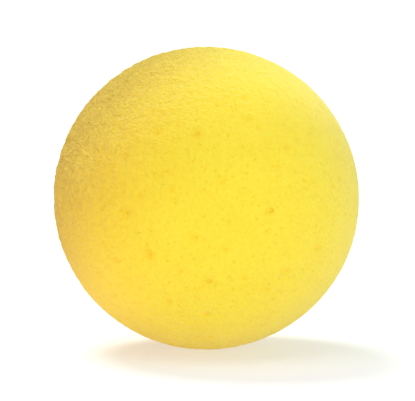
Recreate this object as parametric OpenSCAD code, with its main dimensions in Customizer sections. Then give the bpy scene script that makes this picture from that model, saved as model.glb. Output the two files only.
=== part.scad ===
// Moulded foam stress ball: a ball of soft polyurethane foam with a denser skin of its own.
// The origin is the ball's centre and +Z is up. Sizes are in millimetres, angles in degrees.

/* [Ball] */
// Diameter of the ball when nothing squeezes it
ball_d = 63; // [50:0.5:80]
// Thickness of the dense skin
skin_t = 0.8; // [0.7:0.1:2]

/* [Pinholes] */
// How many small bubbles burst through the skin, spread evenly over the ball
small_count = 60; // [0:1:120]
// Widest mouth of a small pinhole
small_mouth = 0.8; // [0.4:0.1:1.2]
// Narrowest mouth as a share of the widest
small_least = 0.6; // [0.3:0.05:1]
// Least angle between a small pinhole and any large one, seen from the ball's centre
clear_angle = 6; // [4:0.5:12]

/* [Colours] */
// Colour of the skin
skin_colour = "Gold"; // [Gold, Khaki, Orange]
// Colour of the foam under it
core_colour = "Goldenrod"; // [Goldenrod, Gold, SandyBrown]

/* [Hidden] */

$fn = 96;
ball_r = ball_d / 2;
core_r = ball_r - skin_t;
golden_angle = 180 * (3 - sqrt(5));

// The large pinholes: [degrees round from the front towards +X, degrees above the equator, mouth].
// The front of the ball faces -Y.
large_pinholes = [
    [ -4,  30, 1.1], [-21,  30, 0.8], [-21,  38, 0.7], [  5,  42, 0.6], [-19,  48, 0.6],
    [-33,  21, 0.7], [-38,  16, 0.6], [-57,  24, 0.8], [-30,   0, 0.9], [-22, -15, 1.2],
    [  1, -26, 1.1], [  0, -42, 0.8], [ 24,   1, 1.0], [ 34,  24, 0.7], [ 28,  17, 0.6],
    [  6,  12, 0.6], [ 19,  36, 0.7], [ 23,  32, 0.6], [  7, -13, 0.6], [ 33, -23, 0.8],
    [-41,  32, 0.8], [-17,  14, 0.6], [-13,   9, 0.6], [-25,  59, 0.6], [-55,   2, 0.6],
];

// Unit vector at an angle round from the front and an angle above the equator
function direction(around, above) =
    [sin(around) * cos(above), -cos(around) * cos(above), sin(above)];

// The small pinholes lie on a spiral from pole to pole, a golden angle apart,
// and their mouths step through a few sizes in an order that doesn't repeat side by side.
function spiral_above(i) = asin(1 - (2 * i + 1) / small_count);
function small_share(i) = small_least + (1 - small_least) * ((i * 7) % 10) / 9;
function is_clear(dir) =
    min([for (p = large_pinholes) acos(dir * direction(p[0], p[1]))]) > clear_angle;

small_pinholes = [
    for (i = [0:small_count - 1])
        let (around = i * golden_angle, above = spiral_above(i))
            if (is_clear(direction(around, above))) [around, above, small_mouth * small_share(i)]
];

// A bubble that burst at the surface: half of it is left, a round hollow with a mouth of its full width
module bubble(around, above, mouth) {
    rotate([0, 90 - above, around - 90])
        translate([0, 0, ball_r])
            sphere(d = mouth, $fn = 32);
}

// The dense skin: a closed shell, with a hollow in its outside wherever a bubble burst
module skin() {
    color(skin_colour) difference() {
        sphere(r = ball_r);
        sphere(r = core_r);
        for (p = concat(large_pinholes, small_pinholes))
            bubble(p[0], p[1], p[2]);
    }
}

// The soft foam that fills the skin and is bonded to it all over
module foam_core() {
    color(core_colour) sphere(r = core_r);
}

skin();
foam_core();
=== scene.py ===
"""A yellow foam stress ball: a finely pebbled, pinholed skin over a core of cellular foam.

The ball's centre is the origin, +Z is up and the front of the ball faces -Y. Sizes are in metres.
"""

import math

import bpy
import numpy as np
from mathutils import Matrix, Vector, noise


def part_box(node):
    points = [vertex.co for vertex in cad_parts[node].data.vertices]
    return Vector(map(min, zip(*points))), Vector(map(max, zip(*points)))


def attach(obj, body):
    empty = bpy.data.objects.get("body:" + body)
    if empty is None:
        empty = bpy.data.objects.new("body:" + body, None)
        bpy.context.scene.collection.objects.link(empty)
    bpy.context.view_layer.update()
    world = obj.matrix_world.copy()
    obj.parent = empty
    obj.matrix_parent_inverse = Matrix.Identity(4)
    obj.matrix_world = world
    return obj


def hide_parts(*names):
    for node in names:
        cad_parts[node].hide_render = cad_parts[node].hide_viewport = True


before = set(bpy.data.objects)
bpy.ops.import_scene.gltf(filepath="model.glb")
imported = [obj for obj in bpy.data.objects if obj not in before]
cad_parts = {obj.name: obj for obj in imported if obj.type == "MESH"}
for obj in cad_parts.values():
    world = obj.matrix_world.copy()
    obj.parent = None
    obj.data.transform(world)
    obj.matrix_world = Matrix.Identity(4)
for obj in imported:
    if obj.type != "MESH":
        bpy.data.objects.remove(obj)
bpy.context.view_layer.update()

MM = 0.001
BALL_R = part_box("skin")[1].z
CORE_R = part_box("foam_core")[1].z

# The camera: how far away and how high it is, then the ball's diameter and the place of its centre, right
# of the picture's middle and above it, as shares of the picture's width
CAMERA_DISTANCE = 0.7
CAMERA_ELEVATION = math.radians(6)
BALL_IN_PICTURE = 0.7316
CENTRE_RIGHT = -0.0026
CENTRE_UP = 0.0056
SENSOR = 36.0

# The moulded shape: the ball is a little wider than it is high, and its skin is uneven at several scales.
# Each layer of unevenness is (width of its bumps, height of its bumps), and NOISE_STEP keeps the noise of
# one layer apart from the next one's. The grain also has round dimples, which reach DIMPLE_REACH of their
# width from the middle.
STRETCH = np.array((1.004, 1.004, 0.996))
SWELLS = [(34 * MM, 0.10 * MM), (11 * MM, 0.06 * MM)]
GRAIN = [(2.6 * MM, 0.03 * MM), (1.0 * MM, 0.07 * MM)]
DIMPLE_WIDTH = 1.1 * MM
DIMPLE_DEPTH = 0.05 * MM
DIMPLE_REACH = 0.6
NOISE_STEP = 7.0

# The grain is coarser towards one side of the ball: which side, how fast that grows towards it and how
# far it has grown at a right angle to it, how much higher the grain's bumps are where it is coarsest, and
# how many times stronger the material's own bumps are there. The material also paints shade into the
# valleys of the coarse grain, so that this side is painted darker and more orange as a whole.
COARSE_SIDE = np.array((-0.75, 0.2, 0.62)) / math.hypot(0.75, 0.2, 0.62)
COARSE_SLOPE = 1.1
COARSE_OFFSET = 0.1
COARSE_GAIN = 3.2
COARSE_TIMES = 2.5

# How finely each surface is cut: steps along each edge of an icosahedron
SKIN_STEPS = 92
INSIDE_STEPS = 16
CORE_STEPS = 64
HOLLOW_STEPS = 6

# The cells that the core's surface cuts through, and how far that surface stays clear of the skin
CELL_WIDTH = 2.2 * MM
CELL_DEPTH = 0.15 * MM
CORE_GAP = 0.02 * MM

# The pinholes, as in the CAD model: [degrees round from the front towards +X, degrees above the
# equator, width of the mouth in mm]
LARGE_PINHOLES = [
    (-4, 30, 1.1), (-21, 30, 0.8), (-21, 38, 0.7), (5, 42, 0.6), (-19, 48, 0.6),
    (-33, 21, 0.7), (-38, 16, 0.6), (-57, 24, 0.8), (-30, 0, 0.9), (-22, -15, 1.2),
    (1, -26, 1.1), (0, -42, 0.8), (24, 1, 1.0), (34, 24, 0.7), (28, 17, 0.6),
    (6, 12, 0.6), (19, 36, 0.7), (23, 32, 0.6), (7, -13, 0.6), (33, -23, 0.8),
    (-41, 32, 0.8), (-17, 14, 0.6), (-13, 9, 0.6), (-25, 59, 0.6), (-55, 2, 0.6),
]

# The small pinholes: how many places their spiral has, the widest mouth in mm, the narrowest as a share
# of it, and the least angle to a large pinhole, nearer to which a place stays empty
SMALL_COUNT = 60
SMALL_MOUTH = 0.8
SMALL_LEAST = 0.6
CLEAR_ANGLE = math.radians(6)

# A pinhole whose mouth is at least CUT_LEAST wide is a hollow, cut out of the skin. Its depth is
# HOLLOW_SHARE of its radius, and it lies in a dip of RIM_DIP of its mouth. A narrower pinhole is only a
# dip, NARROW_DIP of its mouth deep.
CUT_LEAST = 0.85 * MM
HOLLOW_SHARE = 0.45
RIM_DIP = 0.08
NARROW_DIP = 0.30

# How uneven a hollow is: by what share its radius varies, how many lumps there are along that radius, and
# how far the noise of one hollow is from the next one's
HOLLOW_UNEVEN = 0.3
LUMP_SCALE = 0.9
LUMP_STEP = 5.0

# Tiny pits in the skin between the pinholes: how many, their mean depth, and the deepest as a multiple
# of that mean
PIT_COUNT = 6000
PIT_DEPTH = 0.06 * MM
PIT_DEEPEST = 3

# How much painted shade a point gets, which makes its colour deeper: in the middle of a pinhole, in a pit of
# mean depth, at the bottom of a dimple and of a cell, and on the inside of the skin
PINHOLE_PAINTED_SHADE = 0.6
PIT_PAINTED_SHADE = 0.35
DIMPLE_PAINTED_SHADE = 0.15
CELL_PAINTED_SHADE = 0.5
INSIDE_PAINTED_SHADE = 0.3

SEED = 63
rng = np.random.default_rng(SEED)


# ---------------------------------------------------------------- camera

def make_camera():
    """A long lens in front of the ball, aimed so that the ball lies where the picture has it."""
    data = bpy.data.cameras.new("camera")
    data.sensor_width = SENSOR
    seen_radius = math.tan(math.asin(BALL_R / CAMERA_DISTANCE))
    data.lens = SENSOR * BALL_IN_PICTURE / 2 / seen_radius
    data.clip_start = 0.01
    data.clip_end = 20
    camera = bpy.data.objects.new("camera", data)
    back = Vector((0, -math.cos(CAMERA_ELEVATION), math.sin(CAMERA_ELEVATION)))
    camera.rotation_euler = back.to_track_quat("Z", "Y").to_euler()
    right, up = Vector((1, 0, 0)), back.cross(Vector((1, 0, 0)))
    picture_width = 2 * BALL_R / BALL_IN_PICTURE
    camera.location = back * CAMERA_DISTANCE - picture_width * (right * CENTRE_RIGHT + up * CENTRE_UP)
    bpy.context.scene.collection.objects.link(camera)
    bpy.context.scene.camera = camera


# ---------------------------------------------------------------- meshes

def geodesic(steps):
    """Points spread evenly over a unit sphere, and triangles between them: an icosahedron with each
    edge cut into steps."""
    golden = (1 + math.sqrt(5)) / 2
    corners = np.array([
        (-1, golden, 0), (1, golden, 0), (-1, -golden, 0), (1, -golden, 0),
        (0, -1, golden), (0, 1, golden), (0, -1, -golden), (0, 1, -golden),
        (golden, 0, -1), (golden, 0, 1), (-golden, 0, -1), (-golden, 0, 1),
    ]) / math.sqrt(1 + golden * golden)
    sides = [
        (0, 11, 5), (0, 5, 1), (0, 1, 7), (0, 7, 10), (0, 10, 11),
        (1, 5, 9), (5, 11, 4), (11, 10, 2), (10, 7, 6), (7, 1, 8),
        (3, 9, 4), (3, 4, 2), (3, 2, 6), (3, 6, 8), (3, 8, 9),
        (4, 9, 5), (2, 4, 11), (6, 2, 10), (8, 6, 7), (9, 8, 1),
    ]
    grid = [(i, j) for i in range(steps + 1) for j in range(steps + 1 - i)]
    number = {ij: k for k, ij in enumerate(grid)}
    weights = np.array([(steps - i - j, i, j) for i, j in grid]) / steps
    up = [(number[i, j], number[i + 1, j], number[i, j + 1]) for i, j in grid if i + j < steps]
    down = [
        (number[i + 1, j], number[i + 1, j + 1], number[i, j + 1])
        for i, j in grid if i + j < steps - 1
    ]
    side_faces = np.array(up + down)
    points = np.concatenate([weights @ corners[list(side)] for side in sides])
    faces = np.concatenate([side_faces + k * len(grid) for k in range(len(sides))])
    _, first, same = np.unique(points.round(6), axis=0, return_index=True, return_inverse=True)
    points = points[first]
    points /= np.linalg.norm(points, axis=1, keepdims=True)
    return points, same.reshape(-1)[faces]


def mesh_object(name, points, faces, pitted, material=None):
    """An object of its own from points and triangles. Each point also holds how much painted shade it gets
    in pits and hollows, and how coarse its grain is, both from 0 to 1."""
    mesh = bpy.data.meshes.new(name)
    if material:
        mesh.materials.append(material)
    mesh.from_pydata(points.tolist(), [], faces.tolist())
    # How much painted shade each point gets: a deeper colour in pits and hollows
    mesh.attributes.new("pitted", "FLOAT", "POINT").data.foreach_set("value", pitted)
    coarse = coarseness(points / np.linalg.norm(points, axis=1, keepdims=True))
    mesh.attributes.new("coarse", "FLOAT", "POINT").data.foreach_set("value", coarse)
    mesh.shade_smooth()
    piece = bpy.data.objects.new(name, mesh)
    bpy.context.scene.collection.objects.link(piece)
    return piece


def noise_at(directions, width, offset=0.0):
    """Smooth noise, from about -1 to 1, whose bumps are width across on the ball's surface."""
    scale = BALL_R / width
    return np.array([noise.noise(Vector(d * scale + offset)) for d in directions])


def dimples_at(directions, width):
    """Round dimples side by side, width across: from -1 at the bottom of each to 0 on the ridges between."""
    scale = BALL_R / width
    reach = np.array([noise.voronoi(Vector(d * scale))[0][0] for d in directions])
    return np.minimum(reach / DIMPLE_REACH, 1) ** 2 - 1


def direction(around, above):
    """Unit vector at degrees round from the front and degrees above the equator."""
    around, above = math.radians(around), math.radians(above)
    flat = math.cos(above)
    return np.array([math.sin(around) * flat, -math.cos(around) * flat, math.sin(above)])


def coarseness(directions):
    """How coarse the grain is, from 0 on the smoother side of the ball to 1 on the coarser side."""
    return np.clip(COARSE_SLOPE * directions @ COARSE_SIDE + COARSE_OFFSET, 0, 1) ** 2


def pinholes():
    """(direction, mouth width) of every pinhole: the large ones, then a spiral of small ones, whose mouths
    step through ten widths, as in the CAD model."""
    found = [(direction(around, above), mouth * MM) for around, above, mouth in LARGE_PINHOLES]
    large = np.array([place for place, _ in found])
    golden_angle = 180 * (3 - math.sqrt(5))
    for i in range(SMALL_COUNT):
        above = math.degrees(math.asin(1 - (2 * i + 1) / SMALL_COUNT))
        place = direction(i * golden_angle, above)
        if math.acos(min(1, (large @ place).max())) > CLEAR_ANGLE:
            share = SMALL_LEAST + (1 - SMALL_LEAST) * ((i * 7) % 10) / 9
            found.append((place, SMALL_MOUTH * share * MM))
    return found


def skin_surface(holes):
    """Points, faces and painted pit shade of the outer surface, before the wide pinholes are cut."""
    directions, faces = geodesic(SKIN_STEPS)
    dimples = dimples_at(directions, DIMPLE_WIDTH)
    stand_off = sum(
        height * noise_at(directions, width, offset=NOISE_STEP * k)
        for k, (width, height) in enumerate(GRAIN)
    )
    stand_off *= 1 + COARSE_GAIN * coarseness(directions)
    # Half of a dimple's depth lies outside the ball's radius, so that the ball keeps its size
    stand_off += DIMPLE_DEPTH * (dimples + 0.5) + sum(
        height * noise_at(directions, width, offset=-NOISE_STEP * k)
        for k, (width, height) in enumerate(SWELLS)
    )
    # Painted shade: the bottoms of the dimples are painted deeper in colour
    pitted = -DIMPLE_PAINTED_SHADE * dimples
    for place, mouth in holes:
        away = np.linalg.norm(directions - place, axis=1) * BALL_R / mouth
        near = np.exp(-away ** 2)
        dip = (RIM_DIP if mouth >= CUT_LEAST else NARROW_DIP) * mouth
        stand_off -= near * (stand_off + dip)
        # Painted shade in and around each pinhole
        pitted += PINHOLE_PAINTED_SHADE * near
    pits = rng.choice(len(directions), PIT_COUNT, replace=False)
    depth = rng.exponential(PIT_DEPTH, PIT_COUNT).clip(max=PIT_DEEPEST * PIT_DEPTH)
    stand_off[pits] -= depth
    # Painted shade: the deeper a pit, the deeper its colour
    pitted[pits] += PIT_PAINTED_SHADE * depth / PIT_DEPTH
    points = directions * (BALL_R + stand_off)[:, None] * STRETCH
    return points, faces, np.minimum(pitted, 1)


def bubble_surfaces(holes):
    """Points and faces of every wide burst bubble: an uneven, flattened ball, whose middle lies on the
    surface of the skin."""
    ball, ball_faces = geodesic(HOLLOW_STEPS)
    points, faces, count = [], [], 0
    for k, (place, mouth) in enumerate(holes):
        if mouth < CUT_LEAST:
            continue
        lumps = np.array([noise.noise(Vector(p * LUMP_SCALE + LUMP_STEP * k)) for p in ball])
        hollow = ball * (mouth / 2 * (1 + HOLLOW_UNEVEN * lumps))[:, None]
        hollow -= (1 - HOLLOW_SHARE) * (hollow @ place)[:, None] * place
        points.append(place * (BALL_R - RIM_DIP * mouth) * STRETCH + hollow)
        faces.append(ball_faces + count)
        count += len(ball)
    return np.concatenate(points), np.concatenate(faces)


def cut(piece, cutter):
    """Cuts the cutter out of the piece, for good."""
    change = piece.modifiers.new("cut", "BOOLEAN")
    change.operation = "DIFFERENCE"
    change.solver = "MANIFOLD"
    change.object = cutter
    seen = bpy.context.evaluated_depsgraph_get()
    cut_mesh = bpy.data.meshes.new_from_object(piece.evaluated_get(seen), depsgraph=seen)
    piece.modifiers.clear()
    piece.data = cut_mesh
    # The cutter has no material, and leaves an empty slot behind
    cut_mesh.materials.pop(index=1)


def make_skin(holes, material):
    """The skin: a shell between the pebbled outer surface and the smooth inner one, with a hollow
    wherever a wide bubble burst."""
    points, faces, pitted = skin_surface(holes)
    inside, inside_faces = geodesic(INSIDE_STEPS)
    skin = mesh_object(
        "foam_skin",
        np.concatenate([points, inside * CORE_R]),
        np.concatenate([faces, inside_faces[:, ::-1] + len(points)]),
        # The inside of the skin gets a painted shade of its own
        np.concatenate([pitted, np.full(len(inside), INSIDE_PAINTED_SHADE)]),
        material,
    )
    hollow_points, hollow_faces = bubble_surfaces(holes)
    # The walls of the hollows get the painted shade of a pinhole's middle
    hollow_painted_shade = np.full(len(hollow_points), PINHOLE_PAINTED_SHADE)
    hollows = mesh_object("hollows", hollow_points, hollow_faces, hollow_painted_shade)
    cut(skin, hollows)
    bpy.data.objects.remove(hollows)
    return skin


def make_core(material):
    """The core: the foam inside, with the cells that its surface cuts through."""
    directions, faces = geodesic(CORE_STEPS)
    cells = dimples_at(directions, CELL_WIDTH)
    points = directions * (CORE_R - CORE_GAP + CELL_DEPTH * cells)[:, None]
    # The bottoms of the cells get painted shade
    return mesh_object("foam_cells", points, faces, -CELL_PAINTED_SHADE * cells, material)


# ---------------------------------------------------------------- materials

# The foam's colours: on its surface; deeper, painted as shade in its pits and hollows and also the core's own
# colour; painted as shade in the valleys of the coarse grain; and how much of that last colour the deepest
# valleys take
YELLOW = (0.94, 0.72, 0.040)
DEEP_YELLOW = (0.93, 0.60, 0.006)
PAINTED_VALLEY_SHADE_YELLOW = (0.80, 0.55, 0.012)
VALLEY_SHADE = 0.75

# The material's own grain: the width of its dimples on the skin and on the core, the widths of its
# roughness and of the pebbly pattern of its painted shade in valleys as shares of that, the bump distances of
# its dimples and of its roughness where it is coarsest, and the width of the cloudy mottle
SKIN_GRAIN = 0.75 * MM
CELL_GRAIN = 0.5 * MM
ROUGH_SHARE = 0.75
PEBBLE_SHARE = 1.8
DIMPLE_BUMP = 0.36 * MM
ROUGH_BUMP = 1.6 * MM
MOTTLE_WIDTH = 7 * MM

# The numbers of the colour sockets of a Mix node
MIX_A = 6
MIX_B = 7
MIX_RESULT = 2


def new_material(name):
    """A material with nodes, its shader, and a function that adds a node and sets its inputs."""
    material = bpy.data.materials.new(name)
    material.use_nodes = True
    tree = material.node_tree
    shader = tree.nodes["Principled BSDF"]

    def add(kind, settings=None, **inputs):
        node = tree.nodes.new("ShaderNode" + kind)
        for key, value in (settings or {}).items():
            setattr(node, key, value)
        for key, value in inputs.items():
            socket = node.inputs[key.replace("_", " ")]
            if isinstance(value, bpy.types.NodeSocket):
                tree.links.new(value, socket)
            else:
                socket.default_value = value
        return node

    return material, shader, tree, add


def foam_material(name, light, deep, grain_width):
    """Matt foam, coloured right through: fine dimpled grain, with painted shade that deepens its colour in
    pits, hollows and the bottoms of dimples, and in the valleys of the coarse grain.
    grain_width is the width of its dimples."""
    material, shader, tree, add = new_material(name)
    where = add("TexCoord").outputs["Object"]
    # The painted shade of pits and hollows, and how coarse the grain is
    pitted = add("Attribute", {"attribute_name": "pitted"}).outputs["Fac"]
    coarse = add("Attribute", {"attribute_name": "coarse"}).outputs["Fac"]
    grain = add("TexVoronoi", {"feature": "SMOOTH_F1"}, Vector=where, Scale=1 / grain_width, Smoothness=0.6)
    fine = add("TexNoise", Vector=where, Scale=1 / (ROUGH_SHARE * grain_width), Detail=2.0, Roughness=0.7)
    cloud = add("TexNoise", Vector=where, Scale=1 / MOTTLE_WIDTH, Detail=3.0, Roughness=0.5)

    # How deep the colour is: painted shade in the pits, hollows and bottoms of the dimples, and a cloudy
    # mottle
    dimple = add(
        "MapRange", Value=grain.outputs["Distance"], From_Min=0.1, From_Max=0.5,
        To_Min=DIMPLE_PAINTED_SHADE, To_Max=0.0,
    )
    mottle = add(
        "MapRange", Value=cloud.outputs["Fac"], From_Min=0.3, From_Max=0.7,
        To_Min=-0.05, To_Max=0.08,
    )
    depth = add("Math", {"operation": "ADD"})
    tree.links.new(pitted, depth.inputs[0])
    tree.links.new(dimple.outputs["Result"], depth.inputs[1])
    painted_shade_and_mottle = add("Math", {"operation": "ADD", "use_clamp": True})
    tree.links.new(depth.outputs[0], painted_shade_and_mottle.inputs[0])
    tree.links.new(mottle.outputs["Result"], painted_shade_and_mottle.inputs[1])
    colour = add("Mix", {"data_type": "RGBA"}, Factor=painted_shade_and_mottle.outputs[0])
    colour.inputs[MIX_A].default_value = (*light, 1)
    colour.inputs[MIX_B].default_value = (*deep, 1)

    # Painted shade: where the grain is coarse, the valleys of a pebbly pattern are painted darker and more
    # orange, which also darkens that side of the ball as a whole
    valley_shade_noise = add("TexNoise", Vector=where, Scale=1 / (PEBBLE_SHARE * grain_width), Detail=3.0, Roughness=0.6)
    painted_valley_shade = add(
        "MapRange", Value=valley_shade_noise.outputs["Fac"], From_Min=0.35, From_Max=0.65,
        To_Min=VALLEY_SHADE, To_Max=0.0,
    )
    share = add("Math", {"operation": "MULTIPLY"})
    tree.links.new(painted_valley_shade.outputs["Result"], share.inputs[0])
    tree.links.new(coarse, share.inputs[1])
    shaded = add("Mix", {"data_type": "RGBA"}, Factor=share.outputs[0])
    tree.links.new(colour.outputs[MIX_RESULT], shaded.inputs[MIX_A])
    shaded.inputs[MIX_B].default_value = (*PAINTED_VALLEY_SHADE_YELLOW, 1)
    tree.links.new(shaded.outputs[MIX_RESULT], shader.inputs["Base Color"])

    # A dull surface with a faint bloom at grazing angles
    rough = add("MapRange", Value=fine.outputs["Fac"], From_Min=0.3, From_Max=0.7, To_Min=0.7, To_Max=0.9)
    tree.links.new(rough.outputs["Result"], shader.inputs["Roughness"])
    shader.inputs["Specular IOR Level"].default_value = 0.35
    shader.inputs["Sheen Weight"].default_value = 0.25
    shader.inputs["Sheen Roughness"].default_value = 0.45
    shader.inputs["Sheen Tint"].default_value = (1.0, 0.98, 0.9, 1)

    # The finest grain, too fine for the mesh
    strength = add("MapRange", Value=coarse, To_Min=1 / COARSE_TIMES, To_Max=1.0).outputs["Result"]
    dimpled = add("Bump", Height=grain.outputs["Distance"], Strength=strength, Distance=DIMPLE_BUMP)
    grainy = add(
        "Bump", Height=fine.outputs["Fac"], Strength=strength, Distance=ROUGH_BUMP,
        Normal=dimpled.outputs["Normal"],
    )
    tree.links.new(grainy.outputs["Normal"], shader.inputs["Normal"])
    return material


# The floor: its radius and number of sides, its two tones, how strongly it glows, and the stretch in X
# over which that glow rises from nothing
FLOOR_R = 5
FLOOR_SIDES = 96
PAPER_TONES = ((0.51, 0.51, 0.51), (0.53, 0.53, 0.53))
FLOOR_GLOW = 0.47
GLOW_START = -0.30
GLOW_FULL = -0.03


def floor_material():
    """Pale, matt paper with a faint mottle on a light table, whose glow fades out on the left."""
    material, shader, tree, add = new_material("pale_paper")
    where = add("TexCoord").outputs["Object"]
    cloud = add("TexNoise", Vector=where, Scale=8.0, Detail=2.0)
    tone = add("ValToRGB", Fac=cloud.outputs["Fac"])
    for element, paper in zip(tone.color_ramp.elements, PAPER_TONES):
        element.color = (*paper, 1)
    tree.links.new(tone.outputs["Color"], shader.inputs["Base Color"])
    shader.inputs["Roughness"].default_value = 0.9
    shader.inputs["Specular IOR Level"].default_value = 0.1

    place = add("SeparateXYZ", Vector=where)
    glow = add(
        "MapRange", {"interpolation_type": "SMOOTHSTEP"}, Value=place.outputs["X"],
        From_Min=GLOW_START, From_Max=GLOW_FULL, To_Max=FLOOR_GLOW,
    )
    shader.inputs["Emission Color"].default_value = (1, 1, 1, 1)
    tree.links.new(glow.outputs["Result"], shader.inputs["Emission Strength"])
    return material


# ---------------------------------------------------------------- studio

# The light of the room: its colour away from the backdrop and on it, where the middle of the backdrop
# lies, and the cosine of the angle from there at which its light has faded out
DIM_LIGHT = (0.15, 0.04, 0.0)
BACKDROP_LIGHT = (0.55, 0.70, 0.81)
BACKDROP_PLACE = (112, 20)
BACKDROP_END = -0.35

# The soft lamps: name, degrees round from the front towards +X, degrees above the horizon, how many
# degrees wide it looks, strength, colour
LAMPS = [
    ("key", 8, 10, 25, 1.25, (0.92, 1, 0.97)),
    ("top", 0, 80, 50, 0.66, (0.92, 1, 1)),
    ("fill", -40, 58, 40, 0.56, (0.96, 1, 0.92)),
    ("rim", -150, 56, 25, 2.7, (0.88, 1, 0.97)),
    ("warm", -100, 8, 30, 0.85, (1, 0.02, 0)),
]


def make_floor(height):
    """A wide round sheet of pale paper under the ball."""
    angles = np.linspace(0, math.tau, FLOOR_SIDES + 1)[:-1]
    rim = [(FLOOR_R * math.cos(a), FLOOR_R * math.sin(a), height) for a in angles]
    mesh = bpy.data.meshes.new("floor")
    mesh.from_pydata(rim, [], [range(len(rim))])
    mesh.materials.append(floor_material())
    floor = bpy.data.objects.new("floor", mesh)
    bpy.context.scene.collection.objects.link(floor)


def soft_light(name, around, above, spread, strength, colour):
    """A distant softbox that looks spread degrees wide."""
    data = bpy.data.lights.new(name, "SUN")
    data.angle = math.radians(spread)
    data.energy = strength
    data.color = colour
    light = bpy.data.objects.new(name, data)
    light.rotation_euler = Vector(direction(around, above)).to_track_quat("Z", "Y").to_euler()
    bpy.context.scene.collection.objects.link(light)


def make_world():
    """A white room to the camera. As a light it has a bright, cool backdrop behind the ball and to
    its right, and it is dim and warm on the left."""
    world = bpy.data.worlds.new("white_room")
    bpy.context.scene.world = world
    world.use_nodes = True
    tree = world.node_tree
    where = tree.nodes.new("ShaderNodeTexCoord")
    facing = tree.nodes.new("ShaderNodeVectorMath")
    facing.operation = "DOT_PRODUCT"
    facing.inputs[1].default_value = direction(*BACKDROP_PLACE)
    tree.links.new(where.outputs["Generated"], facing.inputs[0])
    fall = tree.nodes.new("ShaderNodeMapRange")
    fall.interpolation_type = "SMOOTHSTEP"
    fall.inputs["From Min"].default_value = BACKDROP_END
    tree.links.new(facing.outputs["Value"], fall.inputs["Value"])
    tone = tree.nodes.new("ShaderNodeMix")
    tone.data_type = "RGBA"
    tone.inputs[MIX_A].default_value = (*DIM_LIGHT, 1)
    tone.inputs[MIX_B].default_value = (*BACKDROP_LIGHT, 1)
    tree.links.new(fall.outputs["Result"], tone.inputs["Factor"])
    glow = tree.nodes["Background"]
    tree.links.new(tone.outputs[MIX_RESULT], glow.inputs["Color"])
    white = tree.nodes.new("ShaderNodeBackground")
    white.inputs["Color"].default_value = (1, 1, 1, 1)
    seen = tree.nodes.new("ShaderNodeLightPath")
    pick = tree.nodes.new("ShaderNodeMixShader")
    tree.links.new(seen.outputs["Is Camera Ray"], pick.inputs["Fac"])
    tree.links.new(glow.outputs[0], pick.inputs[1])
    tree.links.new(white.outputs[0], pick.inputs[2])
    tree.links.new(pick.outputs[0], tree.nodes["World Output"].inputs["Surface"])


# ---------------------------------------------------------------- the ball

make_camera()
skin = make_skin(pinholes(), foam_material("yellow_skin", YELLOW, DEEP_YELLOW, SKIN_GRAIN))
core = make_core(foam_material("yellow_cells", DEEP_YELLOW, DEEP_YELLOW, CELL_GRAIN))

for piece, node, slot in ((skin, "skin", "skin_foam"), (core, "foam_core", "core_foam")):
    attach(piece, "root")
    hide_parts(node)

make_floor(min(v.co.z for v in skin.data.vertices))
make_world()
for lamp in LAMPS:
    soft_light(*lamp)
bpy.context.scene.view_settings.view_transform = "Standard"
